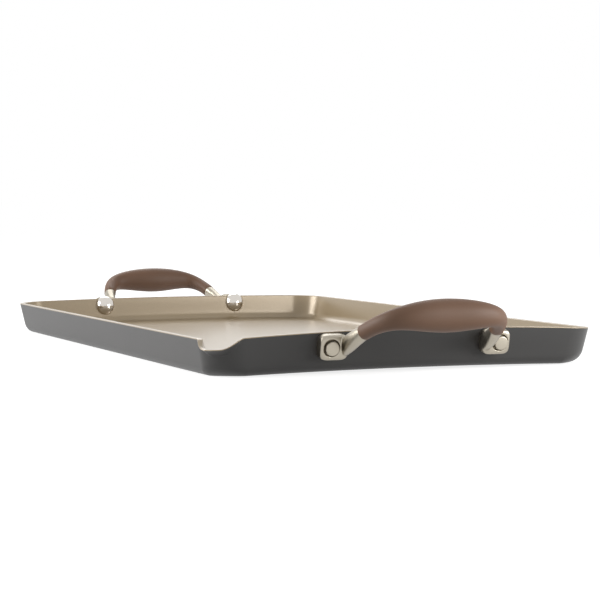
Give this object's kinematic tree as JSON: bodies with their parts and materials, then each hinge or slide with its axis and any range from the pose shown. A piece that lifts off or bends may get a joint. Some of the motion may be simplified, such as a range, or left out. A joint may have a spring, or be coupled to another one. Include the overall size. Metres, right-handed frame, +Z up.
{
  "type": "double burner griddle",
  "caption": "Long rectangular griddle pan with low leaning walls, a corner pour spout and a riveted bow handle with a soft grip at each short end.",
  "frame": {"origin": "middle of the flat underside, on the surface it rests on", "axes": "+X along the pan towards the front handle, +Z up, pour spout in the corner at +X and -Y"},
  "size_m": [0.574, 0.2646, 0.0461],
  "materials": {
    "anodised_aluminium": "hard anodised, satin dark grey",
    "nonstick_coating": "champagne metallic nonstick, satin",
    "cast_stainless_steel": "satin cast stainless",
    "grip_silicone": "matte taupe silicone",
    "polished_rivet_steel": "polished stainless"
  },
  "bodies": {
    "root": {"pan_body": "anodised_aluminium", "nonstick_coating": "nonstick_coating", "front_handle": "cast_stainless_steel", "rear_handle": "cast_stainless_steel", "front_grip": "grip_silicone", "rear_grip": "grip_silicone", "front_left_rivet": "polished_rivet_steel", "front_right_rivet": "polished_rivet_steel", "rear_left_rivet": "polished_rivet_steel", "rear_right_rivet": "polished_rivet_steel"}
  },
  "joints": []
}
